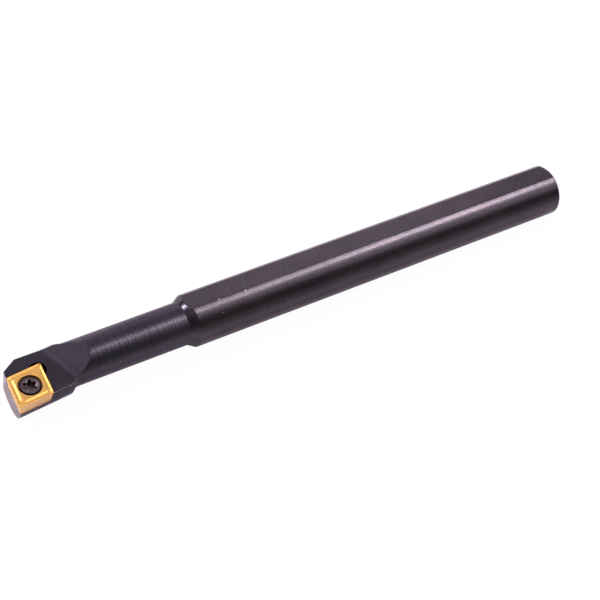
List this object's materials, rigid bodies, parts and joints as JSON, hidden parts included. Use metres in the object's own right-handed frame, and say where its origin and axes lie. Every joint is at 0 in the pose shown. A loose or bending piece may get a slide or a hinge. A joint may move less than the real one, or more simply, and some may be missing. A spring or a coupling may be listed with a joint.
{
  "type": "boring bar",
  "caption": "Right-hand boring bar for a lathe: a round steel shank with two flats, a slimmer neck and an offset head that holds a screwed-down rhombic carbide insert",
  "frame": {"origin": "centre of the shank's end face, on the shank's axis", "axes": "+X along the bar towards the shank's end, so the nose is at -X; +Z out of the top flat, the side that the insert faces; -Y towards the cutting side"},
  "size_m": [0.1143, 0.0107, 0.0092],
  "materials": {
    "blackened_steel": "black oxide, dark brown-purple, satin, with fine turning marks",
    "gold_coated_carbide": "gold coloured hard coating on carbide, satin",
    "screw_steel": "blackened, slightly glossy"
  },
  "bodies": {
    "root": {"bar_body": "blackened_steel", "cutting_insert": "gold_coated_carbide", "clamp_screw": "screw_steel"}
  },
  "joints": []
}
